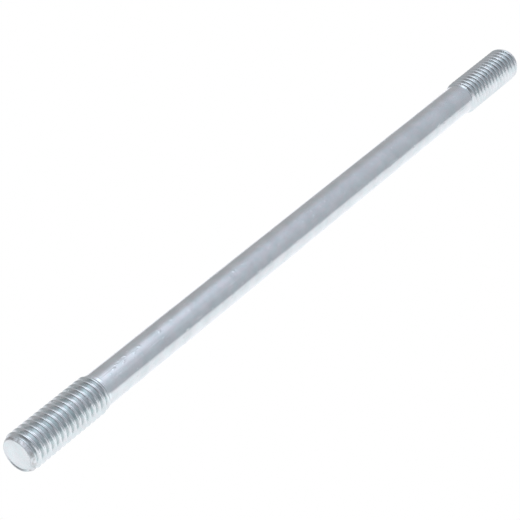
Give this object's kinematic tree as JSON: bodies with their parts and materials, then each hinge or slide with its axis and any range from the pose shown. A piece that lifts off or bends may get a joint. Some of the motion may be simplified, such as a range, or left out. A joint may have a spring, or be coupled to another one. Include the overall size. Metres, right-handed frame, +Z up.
{
  "type": "cylinder stud",
  "caption": "Straight engine cylinder stud, bright zinc plated: a slim plain shank with a right-hand metric thread and a tapered lead and dished face at each end.",
  "frame": {"origin": "on the centre line, where the last full turn of the crankcase thread meets the crankcase", "axes": "+X along the stud from the crankcase end to the nut end, +Z up as the stud lies on its side"},
  "size_m": [0.127, 0.006, 0.006],
  "materials": {
    "zinc_plate": "bright blue-white zinc plate on smooth drawn steel, faintly clouded"
  },
  "bodies": {
    "root": {"cylinder_stud": "zinc_plate"}
  },
  "joints": []
}
